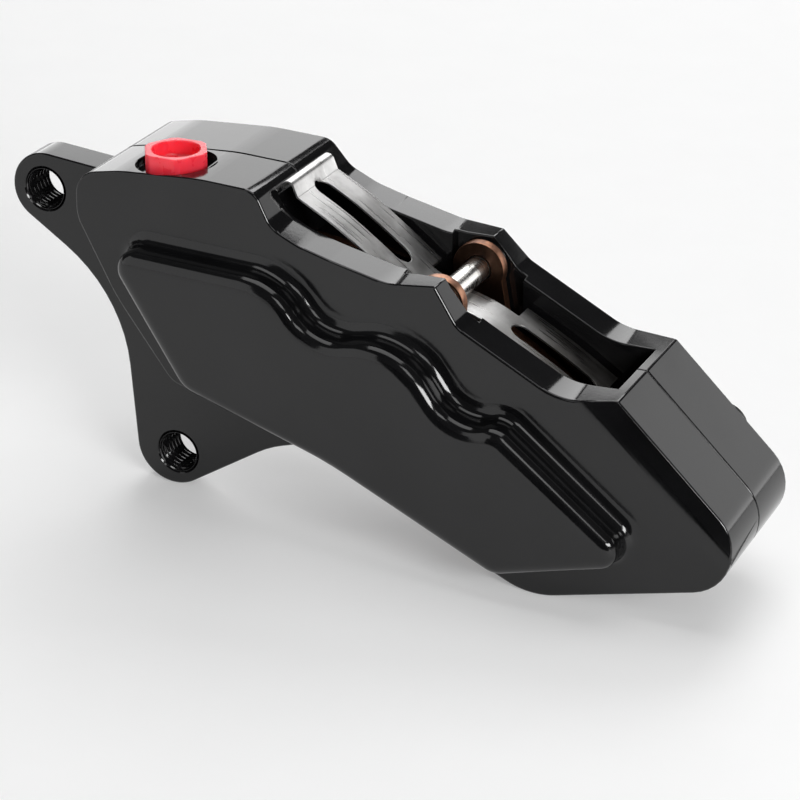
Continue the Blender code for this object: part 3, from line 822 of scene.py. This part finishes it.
def thread_radius(y, share):
    """Radius of the thread at a depth and a share of a turn, with its chamfer at the face."""
    phase = (-y / THREAD_PITCH + share) % 1.0
    depth = abs(2.0 * phase - 1.0)
    radius = THREAD_CREST + (THREAD_ROOT - 0.1 - THREAD_CREST) * depth
    flare = max(0.0, EAR_CHAMFER - (PLATE_Y + y))
    return min(max(radius, flare), THREAD_ROOT - 0.05)


def ear_thread(name, centre):
    """Internal thread of a mounting ear: V-shaped turns inside a thin sleeve, with a chamfer."""
    length = PLATE_Y - SPLIT_HALF
    count = ceil(length / THREAD_PITCH * THREAD_ROWS)
    mesh = bmesh.new()
    rows = []
    for row in range(count + 1):
        y = -SPLIT_HALF - length * row / count
        radii = [thread_radius(y, index / THREAD_STEPS) for index in range(THREAD_STEPS)]
        rows.append(circle(mesh, centre, y, radii))
    for y in (-PLATE_Y, -SPLIT_HALF):
        rows.append(circle(mesh, centre, y, [THREAD_ROOT + 0.05] * THREAD_STEPS))
    for low, high in zip(rows, rows[1:] + rows[:1]):
        bridge(mesh, low, high)
    return placed(finish(name, mesh), "caliper", BLACK, angle=50.0)


# ---------------------------------------------------------------- spring, pin, cap

def strip_outline(path, half_thick):
    """Outline of a strip of even thickness along a path."""
    upper = []
    lower = []
    count = len(path)
    for index in range(count):
        ahead = Vector(path[min(index + 1, count - 1)])
        behind = Vector(path[max(index - 1, 0)])
        along = (ahead - behind).normalized()
        normal = Vector((-along.y, along.x)) * half_thick
        here = Vector(path[index])
        upper.append(tuple(here + normal))
        lower.append(tuple(here - normal))
    return upper + lower[::-1]


def leaf_spring():
    """Anti-rattle leaf: rolled lip, slotted left leaf, waist under the pin, slotted right leaf."""
    path = arc(SPRING_ROLL, ROLL_RADIUS, 200, 10, 18) + smooth(SPRING_PATH)
    leaf = slab("leaf_spring_strip", strip_outline(path, SPRING_THICK / 2),
                -SPRING_HALF, SPRING_HALF)
    for side in (-1, 1):
        combine(leaf, slab("waist", WAIST_OUTLINE, side * SPRING_WAIST, side * OUTSIDE))
    for start, end in SPRING_SLOTS:
        outline = [(start, 30.0), (end, 30.0), (end, 95.0), (start, 95.0)]
        combine(leaf, slab("slot", outline, -LEAF_SLOT_HALF, LEAF_SLOT_HALF))
        for x in (start, end):
            combine(leaf, upright(rod("round", (0, 0), LEAF_SLOT_HALF, 30.0, 95.0, 48), x, 0.0))
    broken_edges(leaf, 0.14)
    return placed(leaf, "caliper", SPRING, ["leaf_spring"])


def pad_pin():
    """Cross pin that carries the pads, with a slotted head in the far half."""
    under, top = PIN_HEAD_Y
    pin = turned("pad_pin_ground", PIN_CENTRE, [
        (0, PIN_TIP), (PIN_RADIUS - 0.6, PIN_TIP), (PIN_RADIUS, PIN_TIP + 0.6),
        (PIN_RADIUS, under), (PIN_HEAD_RADIUS - 0.2, under), (PIN_HEAD_RADIUS, under + 0.2),
        (PIN_HEAD_RADIUS, top - 0.4), (PIN_HEAD_RADIUS - 0.4, top), (0, top)])
    x, z = PIN_CENTRE
    slot = [(x - 8, z - 0.6), (x + 8, z - 0.6), (x + 8, z + 0.6), (x - 8, z + 0.6)]
    combine(pin, slab("slot", slot, top - 1.2, OUTSIDE))
    broken_edges(pin, 0.1)
    return placed(pin, "pad_pin", PIN, ["pad_pin"])


def port_cap():
    """Shipping plug in the inlet: hexagon rim with a round cup, and a stem in the port."""
    cap = upright(rod("port_cap_moulding", (0, 0), CAP_CORNERS, CAP_FOOT, CAP_TOP, 6),
                  *PORT_CENTRE)
    trim = rod("trim", (0, 0), CAP_ROUND, PORT_FLOOR, CUP_TOP)
    combine(cap, upright(trim, *PORT_CENTRE), 'INTERSECT')
    stem = rod("stem", (0, 0), CAP_STEM, STEM_FOOT, SPOT_FLOOR + 2.0, 48)
    combine(cap, upright(stem, *PORT_CENTRE), 'UNION')
    cup = turned("cup", (0, 0), [
        (0, CUP_FLOOR), (CUP_RADIUS - 0.7, CUP_FLOOR), (CUP_RADIUS - 0.3, CUP_FLOOR + 0.4),
        (CUP_RADIUS, CUP_TOP), (0, CUP_TOP)])
    combine(cap, upright(cup, *PORT_CENTRE))
    broken_edges(cap, 0.3, 3, 30.0)
    return placed(cap, "port_cap", RED, ["port_cap"])


# ---------------------------------------------------------------- pads

def pad_outline(inset=0.0, eye=True):
    """Pad shape: a ring sector, with the hanging eye above it when asked for."""
    spread_angle = degrees(inset / PAD_MIDDLE)
    inner = ring_arc(PAD_INNER + inset, PAD_FIRST + spread_angle, PAD_LAST - spread_angle)
    outer = ring_arc(PAD_OUTER - inset, PAD_LAST - spread_angle, PAD_FIRST + spread_angle)
    if not eye:
        return inner + outer
    shoulder = [p for p in outer if p[0] > 84.5] + arc(PIN_CENTRE, PAD_EYE_OUTER - inset,
                                                       -20, 200, 40)
    return inner + shoulder + [p for p in outer if p[0] < 75.0]


def pad_layer(name, word, side, span, inset, rim, material, cad):
    """Backing plate or shim: a flat plate hung on the pin."""
    plate = slab(name, pad_outline(inset), side * span[0], side * span[1])
    combine(plate, rod("eye", PIN_CENTRE, PIN_EYE, side * PAST, side * OUTSIDE, 48))
    broken_edges(plate, rim)
    return placed(plate, f"pad_{word}", material, [cad])


def lining(name, word, side):
    """Friction lining with a groove across its middle."""
    block = slab(name, pad_outline(LINING_INSET, False), side * LINING_Y[0], side * LINING_Y[1])
    middle = (PAD_FIRST + PAD_LAST) / 2
    groove = [polar(middle - 0.5, 90), polar(middle - 0.5, 150), polar(middle + 0.5, 150),
              polar(middle + 0.5, 90)]
    combine(block, slab("groove", groove, side * PAST, side * (LINING_Y[0] + GROOVE_DEPTH)))
    broken_edges(block, 0.3)
    return placed(block, f"pad_{word}", LINING, [f"lining_{word}"])


# ---------------------------------------------------------------- fasteners

def body_bolt(number, centre):
    """Socket-head bolt."""
    top = HEAD_SEAT + HEAD_HEIGHT
    bolt = turned(f"body_bolt_screw_{number}", centre, [
        (0, BOLT_TIP), (BOLT_RADIUS - 0.6, BOLT_TIP), (BOLT_RADIUS, BOLT_TIP + 0.6),
        (BOLT_RADIUS, HEAD_SEAT), (BOLT_HEAD - 0.2, HEAD_SEAT), (BOLT_HEAD, HEAD_SEAT + 0.2),
        (BOLT_HEAD, top - 0.8), (BOLT_HEAD - 0.8, top), (0, top)])
    combine(bolt, rod("socket", centre, SOCKET_RADIUS, HEAD_SEAT + 4.0, HEAD_SEAT + 12.0, 6))
    broken_edges(bolt, 0.15)
    return placed(bolt, "caliper", OXIDE, [f"body_bolt_{number}"])


def bleed_screw(number, centre):
    """Hexagon bleed screw with a drilled nipple."""
    screw = turned(f"bleed_screw_nipple_{number}", centre, [
        (0, 12.6), (1.2, 12.6), (BLEED_RADIUS, 14.4), (BLEED_RADIUS, 24.0), (NIPPLE_RADIUS, 24.4),
        (NIPPLE_RADIUS, NIPPLE_TOP), (0, NIPPLE_TOP)])
    combine(screw, rod("hexagon", centre, 4.0, *BLEED_HEXAGON, 6), 'UNION')
    combine(screw, rod("bore", centre, 0.9, 16.0, 30.0, 24))
    broken_edges(screw, 0.12)
    return placed(screw, f"bleed_screw_{number}", ZINC, [f"bleed_screw_{number}"])


def bleed_cap(number, centre):
    """Rubber dust cap over the bleed nipple."""
    cap = turned(f"bleed_cap_rubber_{number}", centre, [
        (0, 27.0), (2.5, 27.0), (2.5, 24.7), (3.4, 24.7), (3.6, 25.0), (3.6, 25.8), (3.3, 26.1),
        (3.3, 28.4), (3.0, 29.0), (2.5, 29.4), (0, 29.4)])
    broken_edges(cap, 0.12)
    return placed(cap, f"bleed_cap_{number}", RUBBER, [f"bleed_cap_{number}"])


def dress_cad_nodes():
    """Finishes for the inner pieces, whose CAD shapes stay."""
    for name, part in frame["nodes"].items():
        if part.hide_render:
            continue
        material = PISTON if name.startswith("piston") else RUBBER
        part.data.materials.clear()
        part.data.materials.append(material)


# ---------------------------------------------------------------- studio

def floor():
    """Plain pale floor, large enough to run past every view."""
    mesh = bmesh.new()
    bmesh.ops.create_circle(mesh, cap_ends=True, segments=96, radius=8.0)
    data = bpy.data.meshes.new("floor")
    mesh.to_mesh(data)
    mesh.free()
    ground = bpy.data.objects.new("floor", data)
    bpy.context.scene.collection.objects.link(ground)
    material = shader("pale_floor", (0.68, 0.68, 0.68), 0.6, Specular_IOR_Level=0.2,
                      Emission_Color=(1.0, 1.0, 1.0, 1.0), Emission_Strength=0.24)
    paper = grain(material, 40.0, 3.0)
    vary_colour(material, paper, [(0.3, (0.675, 0.675, 0.675)), (0.7, (0.685, 0.685, 0.685))])
    data.materials.append(material)


def softbox(name, azimuth, elevation, distance, size, radiance):
    """Rectangular soft light facing the caliper. Azimuth runs from +Y towards +X, in degrees;
    radiance is the brightness of its face, so that its reflections keep it at any size."""
    data = bpy.data.lights.new(name, 'AREA')
    data.shape = 'RECTANGLE'
    data.size, data.size_y = size
    data.energy = radiance * pi * size[0] * size[1]
    lamp = bpy.data.objects.new(name, data)
    bpy.context.scene.collection.objects.link(lamp)
    turn, rise = radians(azimuth), radians(elevation)
    away = Vector((sin(turn) * cos(rise), cos(turn) * cos(rise), sin(rise)))
    lamp.location = Vector((0.0, 0.0, 0.045)) + away * distance
    lamp.rotation_mode = 'QUATERNION'
    lamp.rotation_quaternion = away.to_track_quat('Z', 'Y')
    lamp.visible_camera = False


def card(name, corners, material):
    """Flat card that only mirrors in the glossy pieces."""
    data = bpy.data.meshes.new(name)
    data.from_pydata(corners, [], [(0, 1, 2, 3)])
    data.materials.append(material)
    sheet = bpy.data.objects.new(name, data)
    bpy.context.scene.collection.objects.link(sheet)
    sheet.visible_camera = False
    sheet.visible_diffuse = False
    sheet.visible_shadow = False


def flag():
    """Low black card in front, that darkens the reflections near the horizon."""
    left, right, front, bottom, top = -0.03, 0.25, -0.2, 0.001, 0.11
    corners = [(left, front, bottom), (right, front, bottom), (right, front, top),
               (left, front, top)]
    card("flag", corners, shader("flag_black", (0.004, 0.004, 0.004), 0.9,
                                 Specular_IOR_Level=0.0))


def pale_card():
    """Grey card front left, that the upward-facing bends of the housing mirror."""
    turn, distance, width, height = radians(222.0), 1.2, 1.25, 1.3
    away = Vector((sin(turn), cos(turn), 0.0))
    sideways = Vector((-away.y, away.x, 0.0)) * width / 2
    foot = away * distance + Vector((0.0, 0.0, 0.001))
    high = Vector((0.0, 0.0, height))
    corners = [foot - sideways, foot + sideways, foot + sideways + high, foot - sideways + high]
    card("pale_card", corners, shader("card_grey", (0.0, 0.0, 0.0), 0.9, Specular_IOR_Level=0.0,
                                      Emission_Color=(1.0, 1.0, 1.0, 1.0),
                                      Emission_Strength=0.95))


def world():
    """Pale surroundings near the horizon that darken overhead, as in a studio."""
    sky = bpy.data.worlds.new("studio")
    sky.use_nodes = True
    nodes = sky.node_tree.nodes
    background = nodes["Background"]
    direction = nodes.new("ShaderNodeTexCoord")
    split = nodes.new("ShaderNodeSeparateXYZ")
    ramp = nodes.new("ShaderNodeValToRGB")
    sky.node_tree.links.new(direction.outputs["Generated"], split.inputs["Vector"])
    sky.node_tree.links.new(split.outputs["Z"], ramp.inputs["Fac"])
    sky.node_tree.links.new(ramp.outputs["Color"], background.inputs["Color"])
    ramp.color_ramp.elements[0].position = 0.04
    ramp.color_ramp.elements[0].color = (0.8, 0.8, 0.8, 1.0)
    ramp.color_ramp.elements[1].position = 0.16
    ramp.color_ramp.elements[1].color = (0.05, 0.05, 0.05, 1.0)
    background.inputs["Strength"].default_value = 1.0
    bpy.context.scene.world = sky


def camera():
    """Long lens looking down from the front right; it leans with the caliper's own frame."""
    data = bpy.data.cameras.new("camera")
    data.sensor_width = 36.0
    data.lens = LENS
    data.clip_start = 0.01
    eye = bpy.data.objects.new("camera", data)
    bpy.context.scene.collection.objects.link(eye)
    azimuth, elevation = radians(CAMERA_AZIMUTH), radians(CAMERA_ELEVATION)
    forward = Vector((-sin(azimuth) * cos(elevation), cos(azimuth) * cos(elevation),
                      -sin(elevation)))
    right = Vector((cos(azimuth), sin(azimuth), 0.0))
    up = right.cross(forward)
    pose = Matrix((right, up, -forward)).transposed().to_4x4()
    pose.translation = EYE
    pose = Matrix.Translation(SHIFT) @ Matrix.Rotation(-LEAN, 4, 'Y') @ pose
    pose.translation *= 0.001
    eye.matrix_world = pose
    bpy.context.scene.camera = eye


def build():
    near_half()
    mounting_plate()
    far_half()
    ear_thread("upper_ear_thread", UPPER_EAR)
    ear_thread("lower_ear_thread", LOWER_EAR)
    leaf_spring()
    pad_pin()
    port_cap()
    for word, side in (("near", -1), ("far", 1)):
        pad_layer(f"backing_plate_plated_{word}", word, side, BACKING_Y, 0.0, 0.25,
                  COPPER, f"backing_plate_{word}")
        pad_layer(f"shim_bright_{word}", word, side, SHIM_Y, SHIM_INSET, 0.1, SHIM,
                  f"shim_{word}")
        lining(f"lining_block_{word}", word, side)
    for number, centre in enumerate(BOLTS, 1):
        body_bolt(number, centre)
    for number, centre in enumerate(BLEEDERS, 1):
        bleed_screw(number, centre)
        bleed_cap(number, centre)
    dress_cad_nodes()


build()
floor()
flag()
pale_card()
world()
camera()
softbox("back_wall", -18.0, 15.0, 2.4, (2.2, 1.15), 2.2)
softbox("back_high", -14.0, 47.0, 2.2, (1.15, 0.85), 4.8)
softbox("back_right", 42.0, 12.0, 2.4, (1.6, 1.0), 1.3)
softbox("right_front", 125.0, 22.0, 1.2, (0.6, 0.28), 17.0)
softbox("high_right", 140.0, 44.0, 1.2, (0.3, 0.4), 3.0)
softbox("overhead", 0.0, 82.0, 2.0, (1.6, 1.6), 1.9)
softbox("left_front", -130.0, 13.0, 2.4, (2.0, 1.1), 0.9)
bpy.context.scene.view_settings.view_transform = 'Standard'
